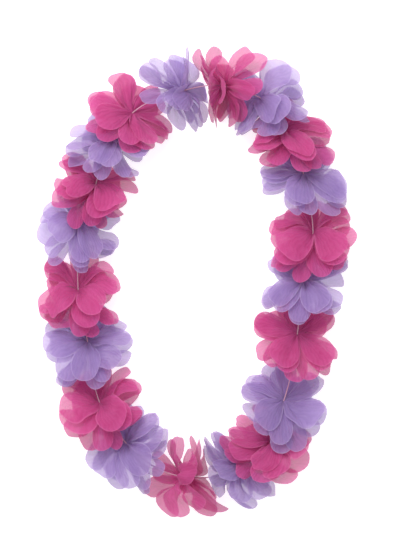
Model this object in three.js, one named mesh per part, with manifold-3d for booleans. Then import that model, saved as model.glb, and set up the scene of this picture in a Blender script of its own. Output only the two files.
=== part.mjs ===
// A flower lei of cloth petals, laid flat in a long oval. Twenty blooms, hot pink and lavender by turns, are threaded
// on one tied loop of string. Each bloom is four die-cut blanks of thin cloth, each with five round lobes that make
// its petals. The string runs through the middle of every blank, where the cloth is gathered into a small tight
// centre. Lying down, the blanks lean over along the string, so that the blooms turn their faces up and the petals
// of one bloom lie on the next, while the lowest petals lie flat on the surface.
// Millimetres, +Z up, the lei's underside on Z = 0, the oval's long axis near Y.

import * as THREE from "three";
import { mergeVertices } from "three/addons/utils/BufferGeometryUtils.js";
import Module from "manifold-3d";

const wasm = await Module();
wasm.setup();

const FULL_TURN = 2 * Math.PI;

// The string, a thin loop that is tied in a small knot
const STRING_DIAMETER = 1.6;
const STRING_CLEARANCE = 0.35; // between the string and a bloom's bore
const STRING_SIDES = 8;
const STRING_STEPS = 76;
const KNOT_AT = 968; // along the string from the first bloom, clockwise
const KNOT_LENGTH = 6;
const KNOT_DIAMETER = 4.8;
const KNOT_RINGS = 6;

// The blanks and the gathered centre of a bloom
const LAYERS = 4;
const LOBES = 5;
const BLANK_RADIUS = 46; // from the string to the tip of a lobe, in the flat cloth
const NOTCH_RADIUS = 8; // from the string to the notch between two lobes
const LOBE_ROUNDNESS = 2.3;
const LOBE_FULLNESS = 0.65;
const CLOTH_THICKNESS = 0.7; // thicker than the real cloth, as a sound solid
const LAYER_PITCH = 3; // between two blanks at the string
const CENTRE_RADIUS = 4.2;
const CENTRE_LENGTH = 13;
const CENTRE_SIDES = 5;

// How the petals stand in the room that a bloom has along the string
const HUB_TILT = 0.8; // the place of the outer blanks close to the string, from 0 to 1 in that room
const PETAL_RANGE = 0.42; // of its blank's share of the room, how far a petal stands to either side
const PETAL_EVENNESS = 0.4;
const PETAL_TWIST = 0.25;
const PETAL_ASIDE = 0.1; // how far a petal swings round the string, in sectors
const MIDDLE_RADIUS = 27; // between the notch and here, a petal goes over into its own way of standing
const TIP_RADIUS = 22; // and from here on, into its tip's
const ROOM_USED = 0.85; // the rest stays free between two blooms
const LEAST_ROOM = 1;
const DROOP = 0.6; // the petals lean over more, the further they are from the string
const BORDER_SWING = 0.3; // the border of two blooms swings to and fro between them
const BORDER_WAVES = 3;
const BORDER_FROM = 36; // at full swing this far from the string

// The string's plan: an oval with flattened sides, slightly egg-shaped and turned
const OVAL_HALF_WIDTH = 124;
const OVAL_HALF_HEIGHT = 190;
const SIDE_FLATNESS = 11.7;
const END_FULLNESS = 9.9;
const EGG_X = [3.3, 4.4];
const EGG_Y = [-2.7, 1];
const OVAL_TURN = THREE.MathUtils.degToRad(3.2);
const OVAL_CENTRE = [-0.97, 6.04];
const FIRST_BLOOM_ANGLE = THREE.MathUtils.degToRad(-30.5); // clockwise from the oval's top

// The string's height over the surface, and the petals that the surface stops
const STRING_HEIGHT_SIDES = 22;
const STRING_HEIGHT_ENDS = 25;
const LYING_HEIGHT = 0.25;
const LYING_BEND = 1.6;

// The blooms in clockwise order, a pink one first. `at` is a bloom's place along the string and `off` how far the
// string is out of the oval there. `rise` and `yaw` are the slopes of its blanks along the string, against height and
// against the outward direction. `turn` is the turn of its blanks round the string in degrees, `spread` how far its
// outer petals stand off along the string, `part` how far its two halves part, `flop` how late its petals fall
// over (below 1 is near the string), and `fall` picks how they fall.
const BLOOMS = [
  { at: 0, off: -4, rise: -1.05, yaw: -0.25, turn: 50, spread: 26, part: 2, flop: 1.3, fall: 7 },
  { at: 59, off: -8, rise: -0.5, yaw: -0.4, turn: 20, spread: 54, part: 1.5, flop: 1.1, fall: 333 },
  { at: 107, off: -4, rise: 0.35, yaw: -0.35, turn: 15, spread: 70, part: 3.5, flop: 1.3, fall: 122 },
  { at: 152, off: -1, rise: 0.95, yaw: 0.3, turn: 65, spread: 64, part: 3, flop: 1, fall: 188 },
  { at: 195, off: -6, rise: 0.95, yaw: 0.6, turn: 50, spread: 30, part: 3.5, flop: 0.6, fall: 198 },
  { at: 240, off: -3, rise: 1.25, yaw: 0.5, turn: 70, spread: 36, part: 1, flop: 1.5, fall: 292 },
  { at: 301, off: 5, rise: 1.65, yaw: -0.25, turn: 50, spread: 54, part: 2.5, flop: 0.9, fall: 397 },
  { at: 347, off: 0, rise: 1.1, yaw: -0.2, turn: 60, spread: 26, part: 3, flop: 1.5, fall: 117 },
  { at: 402, off: 0, rise: 1.4, yaw: 0.2, turn: 40, spread: 26, part: 2, flop: 1.5, fall: 204 },
  { at: 470, off: 1, rise: 1.35, yaw: 0.05, turn: 50, spread: 38, part: 2, flop: 1.5, fall: 14 },
  { at: 515, off: 8, rise: 0.8, yaw: -0.7, turn: 60, spread: 42, part: 2, flop: 0.8, fall: 64 },
  { at: 553, off: 2, rise: 0.45, yaw: -0.2, turn: 65, spread: 34, part: 1.5, flop: 0.8, fall: 108 },
  { at: 602, off: -2, rise: -0.45, yaw: -0.2, turn: 25, spread: 70, part: 3.5, flop: 1.3, fall: 172 },
  { at: 671, off: -3, rise: -1.45, yaw: 0.05, turn: 35, spread: 66, part: 3, flop: 1.2, fall: 68 },
  { at: 721, off: -1, rise: -1.55, yaw: -0.1, turn: 50, spread: 70, part: 2.5, flop: 1.3, fall: 341 },
  { at: 783, off: -4, rise: -1.55, yaw: -0.05, turn: 20, spread: 26, part: 3.5, flop: 0.8, fall: 365 },
  { at: 836, off: 2, rise: -1.65, yaw: -0.3, turn: 50, spread: 70, part: 3.5, flop: 1.1, fall: 273 },
  { at: 901, off: 4, rise: -1.05, yaw: 0.7, turn: 50, spread: 70, part: 2, flop: 1.1, fall: 235 },
  { at: 943, off: -8, rise: -1, yaw: 0.3, turn: 60, spread: 50, part: 3.5, flop: 0.8, fall: 125 },
  { at: 993, off: -6, rise: -0.65, yaw: -0.5, turn: 40, spread: 60, part: 3.5, flop: 1.5, fall: 259 },
];

const PINK = new THREE.MeshStandardMaterial({ color: 0xdb4a93, roughness: 0.75, metalness: 0 });
const LAVENDER = new THREE.MeshStandardMaterial({ color: 0xb296dc, roughness: 0.75, metalness: 0 });
const COTTON = new THREE.MeshStandardMaterial({ color: 0xe0b8c7, roughness: 0.85, metalness: 0 });

// What a drawn number is for: how a petal stands at its middle and at its tip, how its blank is turned, how far it
// swings aside, and the borders.
const PETAL_MIDDLE = 1;
const PETAL_TIP = 2;
const BLANK_TURN = 3;
const PETAL_SWING = 4;
const BORDER = 7;
const BORDER_ROW = 9;

// A number from 0 to 1 that is always the same for the same four whole numbers.
function draw(a, b, c, d) {
  const x = Math.sin(a * 12.9898 + b * 78.233 + c * 37.719 + d * 4.581) * 43758.5453;
  return x - Math.floor(x);
}

// A smooth step from 0 to 1.
function ease(x) {
  return x * x * (3 - 2 * x);
}

function easeBetween(low, high, x) {
  return ease(Math.min(1, Math.max(0, (x - low) / (high - low))));
}

// The lesser of two lengths, without a crease where they meet.
function lesser(a, b) {
  return (a ** -4 + b ** -4) ** -0.25;
}

// The string's plan, as a function of the angle clockwise from the oval's top.
function ovalPoint(angle) {
  const x = OVAL_HALF_WIDTH * Math.sin(angle) + SIDE_FLATNESS * Math.sin(3 * angle);
  const y = OVAL_HALF_HEIGHT * Math.cos(angle) + END_FULLNESS * Math.cos(3 * angle);
  const eggX = EGG_X[0] * Math.cos(2 * angle) + EGG_X[1] * Math.sin(2 * angle);
  const eggY = EGG_Y[0] * Math.cos(2 * angle) + EGG_Y[1] * Math.sin(2 * angle);
  const c = Math.cos(OVAL_TURN);
  const s = Math.sin(OVAL_TURN);
  return new THREE.Vector2(OVAL_CENTRE[0] + c * x + s * y + eggX, OVAL_CENTRE[1] + c * y - s * x + eggY);
}

// The length of the oval from the first bloom up to each of many angles, so that a place gives a point.
const OVAL_STEPS = 2880;
const lengthTo = [0];
for (let i = 1; i <= OVAL_STEPS; i += 1) {
  const before = ovalPoint(FIRST_BLOOM_ANGLE + ((i - 1) / OVAL_STEPS) * FULL_TURN);
  const here = ovalPoint(FIRST_BLOOM_ANGLE + (i / OVAL_STEPS) * FULL_TURN);
  lengthTo.push(lengthTo[i - 1] + here.distanceTo(before));
}
const OVAL_LENGTH = lengthTo[OVAL_STEPS];

function onLoop(place) {
  return ((place % OVAL_LENGTH) + OVAL_LENGTH) % OVAL_LENGTH;
}

function angleAt(place) {
  let low = 0;
  let high = OVAL_STEPS;
  while (high - low > 1) {
    const middle = (low + high) >> 1;
    if (lengthTo[middle] <= place) low = middle;
    else high = middle;
  }
  const share = (place - lengthTo[low]) / (lengthTo[high] - lengthTo[low]);
  return FIRST_BLOOM_ANGLE + ((low + share) / OVAL_STEPS) * FULL_TURN;
}

// How far the string is out of the oval at a place, smooth from bloom to bloom.
function offsetAt(place) {
  let k = BLOOMS.length - 1;
  while (BLOOMS[k].at > place) k -= 1;
  const next = BLOOMS[(k + 1) % BLOOMS.length];
  const end = k + 1 === BLOOMS.length ? OVAL_LENGTH : next.at;
  const share = (place - BLOOMS[k].at) / (end - BLOOMS[k].at);
  return BLOOMS[k].off + (next.off - BLOOMS[k].off) * ease(share);
}

// A point beside the string: `place` along it, `out` away from the oval's middle and `up` above the string. What
// would go below the surface lies flat on it.
const TANGENT_STEP = 0.002;

function besideString(anyPlace, out, up) {
  const place = onLoop(anyPlace);
  const angle = angleAt(place);
  const along = ovalPoint(angle + TANGENT_STEP).sub(ovalPoint(angle - TANGENT_STEP)).normalize();
  const point = ovalPoint(angle);
  const aside = out + offsetAt(place);
  const height = STRING_HEIGHT_SIDES + (STRING_HEIGHT_ENDS - STRING_HEIGHT_SIDES) * Math.cos(angle) ** 2 + up;
  const lying = LYING_HEIGHT + LYING_BEND * Math.log1p(Math.exp((height - LYING_HEIGHT) / LYING_BEND));
  return new THREE.Vector3(point.x - along.y * aside, point.y + along.x * aside, lying);
}

// Where the middle of a bloom's blanks lies along the string, relative to the bloom's own place.
function planeAt(bloom, out, up) {
  return bloom.rise * up * (1 + DROOP * (up / BLANK_RADIUS) ** 2) + bloom.yaw * out;
}

// The share of the gap between a bloom and the next that is the first one's.
function borderAfter(index, out, up) {
  let swing = 0;
  for (let m = 1; m <= BORDER_WAVES; m += 1) {
    const start = FULL_TURN * draw(BLOOMS[index].fall, BORDER_ROW, m, BORDER);
    swing += Math.cos(m * Math.atan2(up, out) + start) / Math.sqrt(m);
  }
  return 0.5 + BORDER_SWING * Math.tanh(swing) * easeBetween(0, BORDER_FROM, Math.hypot(up, out));
}

// The room along the string that a bloom has beside its blanks, towards the next bloom or, with side -1, the last.
function roomAt(index, side, out, up) {
  const other = (index + side + BLOOMS.length) % BLOOMS.length;
  const apart = onLoop((BLOOMS[other].at - BLOOMS[index].at) * side);
  const share = side > 0 ? borderAfter(index, out, up) : 1 - borderAfter(other, out, up);
  return (apart + side * (planeAt(BLOOMS[other], out, up) - planeAt(BLOOMS[index], out, up))) * share;
}

// Where a petal stands, from -1 to 1 in its bloom's room. Every blank has a share of the room to itself, so that the
// blanks keep their order, and each of its petals stands somewhere in that share, a little twisted.
function standing(bloom, layer, lobe, across, use) {
  const petal = layer * LOBES + lobe;
  const twist = PETAL_TWIST * (2 * draw(bloom.fall, petal, 1, use) - 1) * across;
  const swing = Math.tanh((draw(bloom.fall, petal, 0, use) + twist - 0.5) / PETAL_EVENNESS);
  const before = layer < LAYERS / 2 ? layer : layer + bloom.part - 1;
  return (2 * (before + 0.5 + PETAL_RANGE * swing)) / (LAYERS + bloom.part - 1) - 1;
}

// The outline of a blank: how far it reaches at `across`, from -1 to 1 between the two notches beside a lobe.
function reach(across) {
  return NOTCH_RADIUS + (BLANK_RADIUS - NOTCH_RADIUS) * (1 - Math.abs(across) ** LOBE_ROUNDNESS) ** LOBE_FULLNESS;
}

// The point of a bloom's blank at a radius and an angle of the flat cloth. It is found by walking from the string
// along the bent cloth, whose length stays what it is in the flat.
const WALK_STEP = 0.75;

function blankPoint(index, layer, flatRadius, lobe, across) {
  const bloom = BLOOMS[index];
  const blankTurn = draw(index, layer, 0, BLANK_TURN);
  const aside = PETAL_ASIDE * (2 * draw(bloom.fall, layer * LOBES + lobe, 0, PETAL_SWING) - 1);
  const uphill = new THREE.Vector2(bloom.yaw, bloom.rise);
  const slope = uphill.length();
  uphill.normalize();
  const atHub = ((2 * layer) / (LAYERS - 1) - 1) * HUB_TILT;
  const atMiddle = standing(bloom, layer, lobe, across, PETAL_MIDDLE);
  const atTip = standing(bloom, layer, lobe, across, PETAL_TIP);
  const hub = ((LAYERS - 1) / 2) * LAYER_PITCH;

  const onCloth = (radius) => {
    const middle = easeBetween(NOTCH_RADIUS, MIDDLE_RADIUS, radius);
    const tip = easeBetween(TIP_RADIUS, BLANK_RADIUS, radius);
    const sectors = blankTurn + lobe + (across / 2) * (1 - 2 * Math.abs(aside) * middle) + aside * middle;
    const angle = THREE.MathUtils.degToRad(bloom.turn) + (sectors / LOBES) * FULL_TURN;
    const ray = new THREE.Vector2(Math.cos(angle), Math.sin(angle));
    const climb = ray.dot(uphill);
    ray.addScaledVector(uphill, climb / Math.hypot(1, slope) - climb).setLength(radius);

    const tilt = atHub * (1 - middle) + middle * (atMiddle * (1 - tip) + atTip * tip);
    const free = hub + (bloom.spread - hub) * Math.min(1, radius / BLANK_RADIUS) ** bloom.flop;
    const room = Math.max(LEAST_ROOM, ROOM_USED * roomAt(index, tilt < 0 ? -1 : 1, ray.x, ray.y));
    const place = bloom.at + planeAt(bloom, ray.x, ray.y) + tilt * lesser(free, room);
    return new THREE.Vector3(ray.x, ray.y, place);
  };

  let used = 0;
  let here = onCloth(0);
  for (let radius = WALK_STEP; used < flatRadius; radius += WALK_STEP) {
    const ahead = onCloth(radius);
    const stretch = here.distanceTo(ahead);
    here = here.lerp(ahead, Math.min(1, (flatRadius - used) / stretch));
    used += stretch;
  }
  return besideString(here.z, here.x, here.y);
}

// A solid from a geometry, or from points and triangles.
function toSolid(geometry) {
  geometry.deleteAttribute("normal");
  geometry.deleteAttribute("uv");
  const merged = mergeVertices(geometry, 1e-4);
  const mesh = new wasm.Mesh({
    numProp: 3,
    vertProperties: merged.attributes.position.array,
    triVerts: new Uint32Array(merged.index.array),
  });
  return new wasm.Manifold(mesh);
}

function solidFrom(points, triangles) {
  const geometry = new THREE.BufferGeometry();
  geometry.setAttribute("position", new THREE.Float32BufferAttribute(points.flatMap((p) => [p.x, p.y, p.z]), 3));
  geometry.setIndex(triangles.flat());
  return toSolid(geometry);
}

// One blank: a thin sheet of cloth with five lobes, bent into place. Each lobe has points round its edge, from a
// notch on, and one on its rib, and both faces of the sheet are split alike.
const EDGE_STATIONS = [-1, -0.72, -0.26, 0.26, 0.72];
const RIB_RADIUS = 29;

function blankSolid(index, layer) {
  const middle = [blankPoint(index, layer, 0, 0, 0)];
  const rim = [];
  const triangles = [];
  for (let lobe = 0; lobe < LOBES; lobe += 1) {
    const start = middle.length;
    const rib = start + EDGE_STATIONS.length;
    const nextNotch = lobe === LOBES - 1 ? 1 : rib + 1;
    EDGE_STATIONS.forEach((across, i) => {
      rim.push(start + i);
      middle.push(blankPoint(index, layer, reach(across), lobe, across));
      triangles.push([start + i, i === EDGE_STATIONS.length - 1 ? nextNotch : start + i + 1, rib]);
    });
    middle.push(blankPoint(index, layer, RIB_RADIUS, lobe, 0));
    triangles.push([start, rib, nextNotch], [0, start, nextNotch]);
  }

  const normals = middle.map(() => new THREE.Vector3());
  for (const corners of triangles) {
    const [a, b, c] = corners.map((i) => middle[i]);
    const face = b.clone().sub(a).cross(c.clone().sub(a));
    for (const corner of corners) normals[corner].add(face);
  }
  for (const normal of normals) normal.setLength(CLOTH_THICKNESS / 2);

  const count = middle.length;
  const upper = middle.map((p, i) => p.clone().add(normals[i]));
  const lower = middle.map((p, i) => p.clone().sub(normals[i]));
  const faces = [...triangles, ...triangles.map(([a, b, c]) => [c + count, b + count, a + count])];
  rim.forEach((a, i) => {
    const b = rim[(i + 1) % rim.length];
    faces.push([b, a, a + count], [b, a + count, b + count]);
  });
  return solidFrom([...upper, ...lower], faces);
}

// Sets a geometry that was made along Y onto the string, at a place.
function setOnString(geometry, place) {
  const here = besideString(place, 0, 0);
  const along = besideString(place + 1, 0, 0).sub(here).normalize();
  geometry.applyQuaternion(new THREE.Quaternion().setFromUnitVectors(new THREE.Vector3(0, 1, 0), along));
  geometry.translate(here.x, here.y, here.z);
  return toSolid(geometry);
}

function centreSolid(index) {
  const half = CENTRE_LENGTH / 2;
  const profile = [
    new THREE.Vector2(0, -half),
    new THREE.Vector2(CENTRE_RADIUS, -half),
    new THREE.Vector2(CENTRE_RADIUS, half),
    new THREE.Vector2(0, half),
  ];
  return setOnString(new THREE.LatheGeometry(profile, CENTRE_SIDES), BLOOMS[index].at);
}

function knotSolid() {
  const geometry = new THREE.SphereGeometry(KNOT_DIAMETER / 2, STRING_SIDES, KNOT_RINGS);
  geometry.scale(1, KNOT_LENGTH / KNOT_DIAMETER, 1);
  return setOnString(geometry, KNOT_AT);
}

// A closed round ring along the whole string.
function ringSolid(radius) {
  const points = [];
  const triangles = [];
  for (let i = 0; i < STRING_STEPS; i += 1) {
    const here = i * STRING_SIDES;
    const next = ((i + 1) % STRING_STEPS) * STRING_SIDES;
    for (let j = 0; j < STRING_SIDES; j += 1) {
      const around = (j / STRING_SIDES) * FULL_TURN;
      const k = (j + 1) % STRING_SIDES;
      const place = (i / STRING_STEPS) * OVAL_LENGTH;
      points.push(besideString(place, radius * Math.cos(around), radius * Math.sin(around)));
      triangles.push([here + j, next + k, next + j], [here + j, here + k, next + k]);
    }
  }
  return solidFrom(points, triangles);
}

function meshOf(solid, name, material) {
  const raw = solid.getMesh();
  const geometry = new THREE.BufferGeometry();
  geometry.setAttribute("position", new THREE.BufferAttribute(raw.vertProperties, 3));
  geometry.setIndex(new THREE.BufferAttribute(raw.triVerts, 1));
  geometry.computeVertexNormals();
  const mesh = new THREE.Mesh(geometry, material);
  mesh.name = name;
  return mesh;
}

const lei = new THREE.Group();
lei.name = "flower_lei";

const bore = ringSolid(STRING_DIAMETER / 2 + STRING_CLEARANCE);
BLOOMS.forEach((bloom, index) => {
  const pink = index % 2 === 0;
  let solid = centreSolid(index);
  for (let layer = 0; layer < LAYERS; layer += 1) solid = solid.add(blankSolid(index, layer));
  const pieces = solid.subtract(bore).trimByPlane([0, 0, 1], 0).decompose();
  const bloomSolid = pieces.reduce((a, b) => (b.volume() > a.volume() ? b : a));
  const name = `bloom_${String(index + 1).padStart(2, "0")}_${pink ? "pink" : "lavender"}`;
  lei.add(meshOf(bloomSolid, name, pink ? PINK : LAVENDER));
});

lei.add(meshOf(ringSolid(STRING_DIAMETER / 2).add(knotSolid()), "string_loop", COTTON));

export default lei;
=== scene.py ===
import math

import bpy
import numpy as np
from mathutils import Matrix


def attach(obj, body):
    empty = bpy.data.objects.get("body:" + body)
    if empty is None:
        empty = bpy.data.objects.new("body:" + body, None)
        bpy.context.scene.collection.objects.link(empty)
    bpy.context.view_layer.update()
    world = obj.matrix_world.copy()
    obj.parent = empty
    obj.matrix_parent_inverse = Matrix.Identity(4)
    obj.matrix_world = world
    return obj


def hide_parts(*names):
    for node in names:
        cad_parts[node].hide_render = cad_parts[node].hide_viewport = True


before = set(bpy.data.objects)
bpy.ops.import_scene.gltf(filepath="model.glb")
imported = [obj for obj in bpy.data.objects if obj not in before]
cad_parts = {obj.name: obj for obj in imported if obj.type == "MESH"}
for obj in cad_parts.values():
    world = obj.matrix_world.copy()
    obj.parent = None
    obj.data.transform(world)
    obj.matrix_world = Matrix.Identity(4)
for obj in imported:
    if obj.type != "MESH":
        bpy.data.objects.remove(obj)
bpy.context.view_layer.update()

# The camera. The lei lies on a white floor and is looked at from straight above, from far enough away that
# the flowers in the corners of the picture aren't seen from the side.
PICTURE_MIDDLE = (0.0141, 0.0030)
PICTURE_HEIGHT = 0.560
EYE_HEIGHT = 2.4
MEAN_FLOWER_HEIGHT = 0.028
SENSOR_HEIGHT = 24
camera = bpy.data.objects.new("camera", bpy.data.cameras.new("camera"))
bpy.context.collection.objects.link(camera)
bpy.context.scene.camera = camera
camera.location = (*PICTURE_MIDDLE, EYE_HEIGHT)
camera.data.sensor_fit = "VERTICAL"
camera.data.sensor_height = SENSOR_HEIGHT
camera.data.lens = SENSOR_HEIGHT * (EYE_HEIGHT - MEAN_FLOWER_HEIGHT) / PICTURE_HEIGHT
camera.data.clip_end = 20

# The string. A metre of pale cotton thread, two strands twisted together, runs through the middle of every
# flower. The lei was laid down in a long oval, a little egg-shaped and turned, so the string lies in one.
# Its sizes are in millimetres here, and beside_string turns them into metres.
TURN = 2 * math.pi
HALF_WIDTH, HALF_HEIGHT = 124, 190
SIDE_FLATNESS, END_FULLNESS = 11.7, 9.9
EGG_X, EGG_Y = (3.3, 4.4), (-2.7, 1)
OVAL_TURN = math.radians(3.2)
OVAL_CENTRE = (-0.97, 6.04)
OVAL_POINTS = 2881
FIRST_ANGLE = math.radians(-30.5)
SHORT_ANGLE = 0.002  # over which the string's direction is measured
HEIGHT_SIDES, HEIGHT_ENDS = 22, 25  # to which the flowers lift the string off the floor
LYING_HEIGHT, LYING_BEND = 0.25, 1.6  # of cloth that comes down to the floor

# The flowers on the string, clockwise from the upper left, a pink one first. at is the place along the
# string, and off is how far the string is out of the oval there. rise and yaw are how the blanks lean along
# the string, against height and outwards, and turn is their turn round it. spread and flop are how far and
# how late the petals fall over, part is how wide the flower opens, and fall picks how each petal lies.
FLOWER_KEYS = ("at", "off", "rise", "yaw", "turn", "spread", "part", "flop", "fall")
FLOWERS = [dict(zip(FLOWER_KEYS, row)) for row in (
    (0, -4, -1.05, -0.25, 50, 26, 2, 1.3, 7),
    (59, -8, -0.5, -0.4, 20, 54, 1.5, 1.1, 333),
    (107, -4, 0.35, -0.35, 15, 70, 3.5, 1.3, 122),
    (152, -1, 0.95, 0.3, 65, 64, 3, 1, 188),
    (195, -6, 0.95, 0.6, 50, 30, 3.5, 0.6, 198),
    (240, -3, 1.25, 0.5, 70, 36, 1, 1.5, 292),
    (301, 5, 1.65, -0.25, 50, 54, 2.5, 0.9, 397),
    (347, 0, 1.1, -0.2, 60, 26, 3, 1.5, 117),
    (402, 0, 1.4, 0.2, 40, 26, 2, 1.5, 204),
    (470, 1, 1.35, 0.05, 50, 38, 2, 1.5, 14),
    (515, 8, 0.8, -0.7, 60, 42, 2, 0.8, 64),
    (553, 2, 0.45, -0.2, 65, 34, 1.5, 0.8, 108),
    (602, -2, -0.45, -0.2, 25, 70, 3.5, 1.3, 172),
    (671, -3, -1.45, 0.05, 35, 66, 3, 1.2, 68),
    (721, -1, -1.55, -0.1, 50, 70, 2.5, 1.3, 341),
    (783, -4, -1.55, -0.05, 20, 26, 3.5, 0.8, 365),
    (836, 2, -1.65, -0.3, 50, 70, 3.5, 1.1, 273),
    (901, 4, -1.05, 0.7, 50, 70, 2, 1.1, 235),
    (943, -8, -1, 0.3, 60, 50, 3.5, 0.8, 125),
    (993, -6, -0.65, -0.5, 40, 60, 3.5, 1.5, 259),
)]


def oval(angle):
    """The points of the oval, by the angle clockwise from its upper end."""
    x = HALF_WIDTH * np.sin(angle) + SIDE_FLATNESS * np.sin(3 * angle)
    y = HALF_HEIGHT * np.cos(angle) + END_FULLNESS * np.cos(3 * angle)
    egg_x = EGG_X[0] * np.cos(2 * angle) + EGG_X[1] * np.sin(2 * angle)
    egg_y = EGG_Y[0] * np.cos(2 * angle) + EGG_Y[1] * np.sin(2 * angle)
    c, s = math.cos(OVAL_TURN), math.sin(OVAL_TURN)
    return np.stack([OVAL_CENTRE[0] + c * x + s * y + egg_x, OVAL_CENTRE[1] + c * y - s * x + egg_y], -1)


angles = FIRST_ANGLE + np.linspace(0, TURN, OVAL_POINTS)
chords = np.linalg.norm(np.diff(oval(angles), axis=0), axis=1)
length_to = np.concatenate([[0], np.cumsum(chords)])
LOOP_LENGTH = length_to[-1]


def ease(x):
    """From 0 to 1, without a corner at either end."""
    return x * x * (3 - 2 * x)


def ease_between(low, high, x):
    return ease(np.clip((x - low) / (high - low), 0, 1))


def string_offset(place):
    """How far the string is out of the oval, eased from one flower to the next."""
    at = np.array([flower["at"] for flower in FLOWERS] + [LOOP_LENGTH])
    off = np.array([flower["off"] for flower in FLOWERS] + [FLOWERS[0]["off"]], float)
    k = np.clip(np.searchsorted(at, place, side="right") - 1, 0, len(at) - 2)
    return off[k] + (off[k + 1] - off[k]) * ease((place - at[k]) / (at[k + 1] - at[k]))


def beside_string(place, out, up):
    """Points beside the string, in metres. What would go below the floor lies flat on it."""
    place = np.mod(place, LOOP_LENGTH)
    angle = np.interp(place, length_to, angles)
    along = oval(angle + SHORT_ANGLE) - oval(angle - SHORT_ANGLE)
    along = along / np.linalg.norm(along, axis=-1, keepdims=True)
    aside = out + string_offset(place)
    height = HEIGHT_SIDES + (HEIGHT_ENDS - HEIGHT_SIDES) * np.cos(angle) ** 2 + up
    lying = LYING_HEIGHT + LYING_BEND * np.logaddexp(0, (height - LYING_HEIGHT) / LYING_BEND)
    x, y = np.moveaxis(oval(angle), -1, 0)
    return np.stack([x - along[..., 1] * aside, y + along[..., 0] * aside, lying], -1) / 1000


def piece_from(name, points, faces):
    mesh = bpy.data.meshes.new(name)
    mesh.from_pydata(points.tolist(), [], faces.tolist() if hasattr(faces, "tolist") else faces)
    mesh.polygons.foreach_set("use_smooth", [True] * len(mesh.polygons))
    piece = bpy.data.objects.new(name, mesh)
    bpy.context.collection.objects.link(piece)
    return piece


def strand(line, radius, sides, closed):
    """A round strand along a line of points, with its ends closed unless it is a ring."""
    ahead = np.roll(line, -1, axis=0) - np.roll(line, 1, axis=0)
    if not closed:
        ahead[0], ahead[-1] = line[1] - line[0], line[-1] - line[-2]
    ahead /= np.linalg.norm(ahead, axis=1, keepdims=True)
    first = np.cross(ahead, (0, 0, 1.0))
    first /= np.linalg.norm(first, axis=1, keepdims=True)
    second = np.cross(ahead, first)
    around = (np.arange(sides) / sides * TURN)[:, None]
    rings = line[:, None] + radius * (first[:, None] * np.cos(around) + second[:, None] * np.sin(around))
    count = len(line)
    faces = []
    for i in range(count if closed else count - 1):
        here, after = i * sides, (i + 1) % count * sides
        for j in range(sides):
            faces.append((here + j, here + (j + 1) % sides, after + (j + 1) % sides, after + j))
    if not closed:
        faces += [tuple(range(sides))[::-1], tuple(range((count - 1) * sides, count * sides))]
    return rings.reshape(-1, 3), faces


def joined(strands):
    """The points and faces of several strands as one mesh."""
    all_points, all_faces = np.zeros((0, 3)), []
    for points, faces in strands:
        all_faces += [tuple(i + len(all_points) for i in face) for face in faces]
        all_points = np.concatenate([all_points, points])
    return all_points, all_faces


class Socket:
    """A socket of a material, so that shader maths reads as arithmetic."""

    def __init__(self, tree, socket=None):
        self.tree, self.socket = tree, socket

    def node(self, kind, settings=(), sockets=(), out=0):
        made = self.tree.nodes.new("ShaderNode" + kind)
        for name, value in dict(settings).items():
            setattr(made, name, value)
        for name, value in dict(sockets).items():
            if isinstance(value, Socket):
                self.tree.links.new(value.socket, made.inputs[name])
            else:
                made.inputs[name].default_value = value
        return Socket(self.tree, made.outputs[out] if made.outputs else None)

    def math(self, operation, *values):
        return self.node("Math", {"operation": operation}, enumerate(values))

    def __add__(self, other):
        return self.math("ADD", self, other)

    def __sub__(self, other):
        return self.math("SUBTRACT", self, other)

    def __rsub__(self, other):
        return self.math("SUBTRACT", other, self)

    def __mul__(self, other):
        return self.math("MULTIPLY", self, other)

    __radd__ = __add__
    __rmul__ = __mul__


COLOUR_MIX = {"data_type": "RGBA"}
MIXED_COLOUR = 2  # the place of the mixed colour among a Mix node's outputs


def new_material(name):
    material = bpy.data.materials.new(name)
    material.use_nodes = True
    material.node_tree.nodes.clear()
    return material, Socket(material.node_tree)


cotton, start = new_material("pale_cotton_thread")
on_thread = start.node("TexCoord", out="Object")
fuzz = start.node("TexNoise", sockets={"Vector": on_thread, "Scale": 2500.0, "Detail": 2.0})
shade = start.node("Mix", COLOUR_MIX, {
    "Factor": fuzz, "A": (0.58, 0.26, 0.38, 1), "B": (0.78, 0.48, 0.59, 1)}, out=MIXED_COLOUR)
relief = start.node("Bump", sockets={"Strength": 0.4, "Distance": 0.0001, "Height": fuzz})
thread_face = start.node("BsdfPrincipled", sockets={"Base Color": shade, "Roughness": 0.9, "Normal": relief})
start.node("OutputMaterial", sockets={"Surface": thread_face})

STRANDS = 2
STRAND_PITCH = 3.2  # one full twist
STRAND_RADIUS = 0.32
STRAND_OFFSET = 0.28  # from the middle of the thread
STRAND_SIDES, TWIST_STEPS = 6, 8
twists = round(LOOP_LENGTH / STRAND_PITCH)
along_loop = np.arange(twists * TWIST_STEPS) / (twists * TWIST_STEPS)
twisted = []
for k in range(STRANDS):
    turn = TURN * (along_loop * twists + k / STRANDS)
    line = beside_string(along_loop * LOOP_LENGTH, STRAND_OFFSET * np.cos(turn), STRAND_OFFSET * np.sin(turn))
    twisted.append(strand(line, STRAND_RADIUS / 1000, STRAND_SIDES, closed=True))
thread = piece_from("string_twisted", *joined(twisted))
thread.data.materials.append(cotton)
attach(thread, "root")
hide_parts("string_loop")

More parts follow.
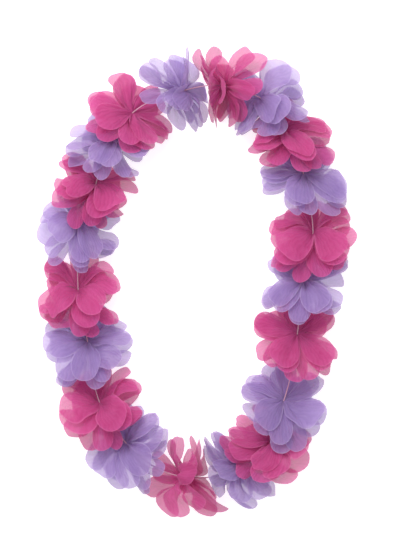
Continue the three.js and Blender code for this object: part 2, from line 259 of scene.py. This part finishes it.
# The knot. The two ends of the thread are tied in an overhand knot, pulled small, and clipped off a few
# millimetres from it. It lies between two flowers, where petals hide it from above.
KNOT_AT = 968
KNOT_RADIUS, KNOT_HALF_LENGTH, KNOT_SWELL = 1.15, 2.4, 0.3
KNOT_WRAPS, KNOT_PASSES = 2.5, 1.5
KNOT_STRAND_RADIUS, CUT_END_RADIUS = 0.6, 0.5
KNOT_SIDES, KNOT_POINTS, CUT_END_POINTS = 8, 60, 14
CUT_END_FROM, CUT_END_HEIGHT = 1, 0.6  # where it comes out of the knot
CUT_END_ALONG, CUT_END_OUT, CUT_END_BEND = 4, 5, 0.8
t = np.linspace(0, 1, KNOT_POINTS)
wrap = TURN * KNOT_WRAPS * t
swell = 1 + KNOT_SWELL * np.sin(TURN * t)
knot_line = beside_string(
    KNOT_AT + KNOT_HALF_LENGTH * np.sin(TURN * KNOT_PASSES * t),
    KNOT_RADIUS * np.cos(wrap) * swell,
    KNOT_RADIUS * np.sin(wrap) * swell,
)
knotted = [strand(knot_line, KNOT_STRAND_RADIUS / 1000, KNOT_SIDES, closed=False)]
for side, lift in ((1, 2.4), (-1, -1.6)):
    t = np.linspace(0, 1, CUT_END_POINTS)
    end_line = beside_string(
        KNOT_AT + side * (CUT_END_FROM + CUT_END_ALONG * t),
        side * (CUT_END_FROM + CUT_END_OUT * t**CUT_END_BEND),
        CUT_END_HEIGHT + lift * t,
    )
    knotted.append(strand(end_line, CUT_END_RADIUS / 1000, KNOT_SIDES, closed=False))
knot = piece_from("string_knot", *joined(knotted))
knot.data.materials.append(cotton)
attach(knot, "root")
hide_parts("string_loop")

# The petal cloth. Thin polyester, heat-cut and pressed between ribbed plates, so that fine veins fan out over
# every petal. Its melted edge is painted paler, a painted glow for the light that scatters in it. Light goes
# through it: a single petal is paler than two that lie on each other.
LOBES = 5
VEINS = 12  # across one petal
VEIN_WANDER = 0.22
# Where the painted glow at the cut edge fades in, and how far it pales the dye there.
EDGE_FROM, EDGE_TO = 0.974, 0.998  # by nearness to the cut edge, which is 1 on it
RIM_GLOW_WHITENESS = 0.5
THROUGH = 0.36  # the share of the light on the threads that goes on through them


def petal_cloth(name, deep, pale, cut, glow, open_share):
    """The cloth in one dye: from deep to pale on its face, with a pale painted glow along its cut edge, and
    glow where light comes through it. open_share is the share of its weave that is open."""
    material, start = new_material(name)
    on_petal = start.node("UVMap", {"uv_map": "petal"})
    lobe = start.node("SeparateXYZ", sockets={"Vector": on_petal}, out="X")
    nearness = start.node("SeparateXYZ", sockets={"Vector": on_petal}, out="Y")
    on_roll = start.node("UVMap", {"uv_map": "flat"})
    blotches = start.node("TexNoise", sockets={"Vector": on_roll, "Scale": 9.0, "Detail": 3.0})
    weave = start.node("TexNoise", sockets={"Vector": on_roll, "Scale": 260.0, "Detail": 2.0})
    veins = start.math("SINE", (lobe * LOBES + blotches * VEIN_WANDER) * (TURN * VEINS))
    veins = veins * 0.5 + 0.5
    # A painted glow: the cloth is made paler near its cut edge, both in its tone and towards a pale colour.
    edge = start.node("MapRange", {"interpolation_type": "SMOOTHSTEP"}, {
        "Value": nearness, "From Min": EDGE_FROM, "From Max": EDGE_TO})
    tone = blotches * 1.0 + veins * 0.22 + weave * 0.2 + edge * 0.3 - 0.2
    tone = start.node("Clamp", sockets={"Value": tone})
    dye = start.node("Mix", COLOUR_MIX, {"Factor": tone, "A": (*deep, 1), "B": (*pale, 1)}, out=MIXED_COLOUR)
    # The pale painted glow at the cut edge, mixed over the dye.
    colour = start.node("Mix", COLOUR_MIX, {
        "Factor": edge * RIM_GLOW_WHITENESS, "A": dye, "B": (*cut, 1)}, out=MIXED_COLOUR)
    height = veins * 0.6 + weave * 0.4 + blotches * 2.0
    relief = start.node("Bump", sockets={"Strength": 0.6, "Distance": 0.0007, "Height": height})
    face = start.node("BsdfPrincipled", sockets={
        "Base Color": colour, "Roughness": 0.72, "Normal": relief, "Specular IOR Level": 0.25,
        "Sheen Weight": 0.15, "Sheen Roughness": 0.4})
    lit_through = start.node("BsdfTranslucent", sockets={"Color": (*glow, 1), "Normal": relief})
    threads = start.node("MixShader", sockets={0: THROUGH, 1: face, 2: lit_through})
    gaps = start.node("BsdfTransparent")
    sheer = start.node("MixShader", sockets={0: open_share, 1: threads, 2: gaps})
    start.node("OutputMaterial", sockets={"Surface": sheer})
    return material


# The third colour of each dye is the pale painted glow at the cut edge.
pink = petal_cloth(
    "hot_pink_polyester", deep=(0.51, 0.043, 0.21), pale=(0.70, 0.122, 0.365), cut=(0.77, 0.22, 0.45),
    glow=(0.75, 0.127, 0.37), open_share=0.19)
lavender = petal_cloth(
    "lavender_polyester", deep=(0.29, 0.182, 0.455), pale=(0.48, 0.345, 0.67), cut=(0.69, 0.56, 0.83),
    glow=(0.49, 0.362, 0.69), open_share=0.28)

# The blanks. Each flower is four blanks, each die-cut from one piece of cloth with five round lobes, and
# gathered in folds where the string goes through its middle. They lean over along the string and lie loosely
# on each other, and each keeps to its own share of the room between the flowers before and after it.
LAYERS = 4
LAYER_PITCH = 3  # before the gathering
HUB_TILT = 0.8  # the share of the pitch that the gathering leaves
BLANK_RADIUS, NOTCH_RADIUS, HOLE_RADIUS = 46, 8, 0.95
LOBE_ROUNDNESS, LOBE_FULLNESS = 2.3, 0.65
DROOP = 0.6  # how much more a flower leans far from the string
MIDDLE_RADIUS, TIP_RADIUS = 27, 22  # from where a petal's middle and its tip lie in their own places
PETAL_RANGE, PETAL_EVENNESS = 0.42, 0.4  # how far a petal swings in its blank's share, and how evenly
PETAL_TWIST, PETAL_ASIDE = 0.25, 0.1
ROOM_USED = 0.95
LEAST_ROOM = 1
BORDER_SWING, BORDER_WAVES, BORDER_FULL = 0.3, 3, 36  # of the border between two flowers
CURL, EDGE_CURL_SHARPNESS, TIP_CURL_SHARPNESS = 11.0, 2.5, 3
CURL_ROOM, LEAST_CURL = 0.8, 0.01  # a curl takes up to this share of its blank's room
RUFFLE = 1.5
FOLDS = ((9, 1.2), (14, 0.8))  # how many there are round a blank, and how deep beside the others
FOLD_DEPTH, FOLDS_FULL, FOLD_FADING = 3.5, 5, 0.85
WALK_STEP = 0.75  # along the cloth
COLUMNS = 24  # across one lobe
ROWS, ROW_CROWDING = 20, 0.85  # a crowding under 1 sets the rows closer towards the cut edge
EDGE_POINTS = 400  # along one lobe
ROLL_SQUARE = 100  # the width of cloth that one blank is cut from


def draw(a, b, c, d):
    """A drawn number from 0 to 1, the same for the same four numbers."""
    x = math.sin(a * 12.9898 + b * 78.233 + c * 37.719 + d * 4.581) * 43758.5453
    return x - math.floor(x)


LIMIT_SHARPNESS = 4.0


def soft_least(a, b):
    """The lesser of two lengths, with a bend instead of a corner where they are equal."""
    return (a**-LIMIT_SHARPNESS + b**-LIMIT_SHARPNESS) ** (-1 / LIMIT_SHARPNESS)


def soft_limit(value, most):
    """The value, to either side, bent so that it never goes past the most."""
    return value / (1 + (value / most) ** LIMIT_SHARPNESS) ** (1 / LIMIT_SHARPNESS)


def plane_at(flower, out, up):
    """How far along the string the flower's leaning middle is, at a place beside the string."""
    return flower["rise"] * up * (1 + DROOP * (up / BLANK_RADIUS) ** 2) + flower["yaw"] * out


def border_after(index, out, up):
    """Where the border to the next flower is, as a share of the way there."""
    around, fall = np.arctan2(up, out), FLOWERS[index]["fall"]
    waves = [
        np.cos(m * around + TURN * draw(fall, 9, m, 7)) / math.sqrt(m) for m in range(1, BORDER_WAVES + 1)]
    return 0.5 + BORDER_SWING * np.tanh(sum(waves)) * ease_between(0, BORDER_FULL, np.hypot(up, out))


def room_at(index, side, out, up):
    """How far it is from the flower's middle to its border with the flower before it, -1, or after it, 1."""
    other = (index + side) % len(FLOWERS)
    apart = (FLOWERS[other]["at"] - FLOWERS[index]["at"]) * side % LOOP_LENGTH
    share = border_after(index, out, up) if side > 0 else 1 - border_after(other, out, up)
    return (apart + side * (plane_at(FLOWERS[other], out, up) - plane_at(FLOWERS[index], out, up))) * share


def reach_at(across):
    """How far the cut edge is from the middle of the blank, by the place across a petal from -1 to 1."""
    beyond_notch = BLANK_RADIUS - NOTCH_RADIUS
    return NOTCH_RADIUS + beyond_notch * (1 - np.abs(across) ** LOBE_ROUNDNESS) ** LOBE_FULLNESS


def on_flat_petal(across, radius):
    angle = across / 2 * TURN / LOBES
    return np.stack([radius * np.cos(angle), radius * np.sin(angle)], -1)


# A blank's points when it lies flat: in rows from its hole to its cut edge, and in columns round it.
lobe_of = np.repeat(np.arange(LOBES), COLUMNS)
across = np.tile(np.sin(np.linspace(-0.5, 0.5, COLUMNS + 1)[:-1] * math.pi), LOBES)
row_share = np.linspace(0, 1, ROWS)[:, None] ** ROW_CROWDING
flat_radius = HOLE_RADIUS + (reach_at(across) - HOLE_RADIUS) * row_share


def blank_points(index, layer):
    """The points of one blank on the string, in metres."""
    flower = FLOWERS[index]

    def drawn(which, use):
        """One drawn number for each petal of this blank."""
        numbers = [draw(flower["fall"], layer * LOBES + lobe, which, use) for lobe in range(LOBES)]
        return np.array(numbers)[lobe_of]

    radius = np.arange(0, BLANK_RADIUS + WALK_STEP, WALK_STEP)[:, None]
    share = np.minimum(1, radius / BLANK_RADIUS)
    middle = ease_between(NOTCH_RADIUS, MIDDLE_RADIUS, radius)
    tip = ease_between(TIP_RADIUS, BLANK_RADIUS, radius)

    # The way out from the string at each column. A blank that leans reaches less far uphill.
    aside = PETAL_ASIDE * (2 * drawn(0, 4) - 1)
    lobes_on = draw(index, layer, 0, 3) + lobe_of
    lobes_on = lobes_on + across / 2 * (1 - 2 * np.abs(aside) * middle) + aside * middle
    angle = math.radians(flower["turn"]) + lobes_on / LOBES * TURN
    slope = math.hypot(flower["yaw"], flower["rise"])
    uphill = np.array([flower["yaw"], flower["rise"]]) / slope
    ray = np.stack([np.cos(angle), np.sin(angle)], -1)
    climb = ray @ uphill
    ray = ray + uphill * (climb / math.hypot(1, slope) - climb)[..., None]
    ray /= np.linalg.norm(ray, axis=-1, keepdims=True)
    out, up = radius * ray[..., 0], radius * ray[..., 1]

    # How far the flower would spread with nothing in its way.
    hub = (LAYERS - 1) / 2 * LAYER_PITCH
    free = hub + (flower["spread"] - hub) * share ** flower["flop"]

    # Its room, from the flower before, at -1, to the flower after, at 1, is cut into shares. Each blank has
    # one, and those in the middle stay empty, so that the flower opens. Every petal has its own place in its
    # blank's share.
    shares = LAYERS + flower["part"] - 1
    before = layer if layer < LAYERS / 2 else layer + flower["part"] - 1

    def spot(at_hub, at_middle, at_tip):
        """How far along the string the cloth is, by its places near the string, midway and at the tip."""
        tilt = at_hub * (1 - middle) + middle * (at_middle * (1 - tip) + at_tip * tip)
        room = np.where(tilt < 0, room_at(index, -1, out, up), room_at(index, 1, out, up))
        return tilt * soft_least(free, np.maximum(LEAST_ROOM, ROOM_USED * room))

    def petal_at(use):
        """The petals' places in the room."""
        lean = drawn(0, use) + PETAL_TWIST * (2 * drawn(1, use) - 1) * across - 0.5
        return 2 * (before + 0.5 + PETAL_RANGE * np.tanh(lean / PETAL_EVENNESS)) / shares - 1

    at_hub, half_gap = (2 * layer / (LAYERS - 1) - 1) * HUB_TILT, HUB_TILT / (LAYERS - 1)
    own = spot(at_hub, petal_at(1), petal_at(2))
    lowest = spot(at_hub - half_gap, 2 * before / shares - 1, 2 * before / shares - 1)
    highest = spot(at_hub + half_gap, 2 * (before + 1) / shares - 1, 2 * (before + 1) / shares - 1)

    # A petal's edges and its tip curl, as far as its blank's share of the room goes.
    edge_curl = (2 * drawn(2, 1) - 1) * np.abs(across) ** EDGE_CURL_SHARPNESS * ease(share)
    tip_curl = (2 * drawn(2, 2) - 1) * (1 - across**2) * share**TIP_CURL_SHARPNESS
    curl = CURL * (edge_curl + tip_curl) + RUFFLE * np.sin(TURN * (across + drawn(3, 1))) * share**2
    curl = soft_limit(curl, CURL_ROOM * np.where(curl > 0, highest - own, own - lowest) + LEAST_CURL)

    # The folds near the string are the same in all four blanks, which are gathered together.
    folds = 1
    for k, (number, depth) in enumerate(FOLDS, start=1):
        folds = folds - depth * np.abs(np.sin(number / 2 * angle + math.pi * draw(index, 0, k, 5)))
    folds = FOLD_DEPTH * folds * ease_between(0, FOLDS_FULL, radius) * (1 - share) ** FOLD_FADING
    place = flower["at"] + plane_at(flower, out, up) + own + curl + folds

    # The rows go out by length along the bent cloth, so that a petal keeps the length that it was cut to.
    steps = np.sqrt(np.diff(out, axis=0) ** 2 + np.diff(up, axis=0) ** 2 + np.diff(place, axis=0) ** 2)
    used = np.concatenate([np.zeros((1, len(across))), np.cumsum(steps, axis=0)])
    place, out, up = (
        np.stack([np.interp(flat_radius[:, j], used[:, j], values[:, j]) for j in range(len(across))], 1)
        for values in (place, out, up)
    )
    return beside_string(place, out, up)


count = len(across)
faces = np.array([
    (i * count + j, i * count + (j + 1) % count, (i + 1) * count + (j + 1) % count, (i + 1) * count + j)
    for i in range(ROWS - 1) for j in range(count)
])
corner_rows, corner_columns = faces.reshape(-1) // count, faces.reshape(-1) % count

# The cloth's two maps. petal_uv holds the place round the blank, which goes on past the last column, and the
# nearness to the cut edge. flat_uv holds the place on the roll that the blank is cut from.
wraps = np.tile(np.repeat(np.arange(count) == count - 1, 4), ROWS - 1) & (corner_columns == 0)
lobe_at = lobe_of + across / 2
on_edge = np.sin(np.linspace(-0.5, 0.5, EDGE_POINTS) * math.pi)
cut_edge = on_flat_petal(on_edge, reach_at(on_edge))
one_petal = on_flat_petal(across[:COLUMNS], flat_radius[:, :COLUMNS])
from_edge = np.tile(np.linalg.norm(one_petal[:, :, None] - cut_edge, axis=-1).min(axis=2), LOBES)
nearness = 1 - from_edge[corner_rows, corner_columns] / BLANK_RADIUS
petal_uv = np.stack([(lobe_at[corner_columns] + 0.5) / LOBES + wraps, nearness], -1)
corner_radius = flat_radius[corner_rows, corner_columns]
corner_angle = lobe_at[corner_columns] * TURN / LOBES
corners = np.stack([corner_radius * np.cos(corner_angle), corner_radius * np.sin(corner_angle)], -1)
flat_uv = 0.5 + corners / ROLL_SQUARE

for index, flower in enumerate(FLOWERS):
    is_pink = index % 2 == 0
    node = f"bloom_{index + 1:02d}_{'pink' if is_pink else 'lavender'}"
    for layer in range(LAYERS):
        blank = piece_from(f"{node}_blank_{layer + 1}", blank_points(index, layer).reshape(-1, 3), faces)
        blank.data.uv_layers.new(name="petal").data.foreach_set("uv", petal_uv.ravel())
        square_on_roll = np.array([index, layer])  # so that no two blanks have the same blotches
        blank.data.uv_layers.new(name="flat").data.foreach_set("uv", (flat_uv + square_on_roll).ravel())
        blank.data.materials.append(pink if is_pink else lavender)
        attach(blank, "root")
        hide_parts(node)

# The floor and the light. A plain white studio floor lies under one large soft lamp beyond the lei's upper
# end, with a bright white room all round.
FLOOR_HALF = 8.0
floor_corners = FLOOR_HALF * np.array([(-1, -1, 0), (1, -1, 0), (1, 1, 0), (-1, 1, 0)])
floor = piece_from("studio_floor", floor_corners, [(0, 1, 2, 3)])
white, start = new_material("white_floor")
surface = start.node("BsdfPrincipled", sockets={
    "Base Color": (0.93, 0.93, 0.93, 1), "Roughness": 0.9, "Specular IOR Level": 0.1,
    "Emission Color": (1, 1, 1, 1), "Emission Strength": 0.6})
start.node("OutputMaterial", sockets={"Surface": surface})
floor.data.materials.append(white)

world = bpy.data.worlds.new("bright_room")
world.use_nodes = True
room_light = world.node_tree.nodes["Background"].inputs
room_light["Color"].default_value = (1, 1, 1, 1)
room_light["Strength"].default_value = 0.65
bpy.context.scene.world = world

lamp = bpy.data.objects.new("soft_lamp", bpy.data.lights.new("soft_lamp", "AREA"))
lamp.data.energy = 22
lamp.data.size = 1.2
lamp.location = (-0.4, 1.0, 1.2)
lamp.rotation_euler = (math.radians(-37), math.radians(-18), 0)
bpy.context.collection.objects.link(lamp)
bpy.context.scene.view_settings.view_transform = "Standard"
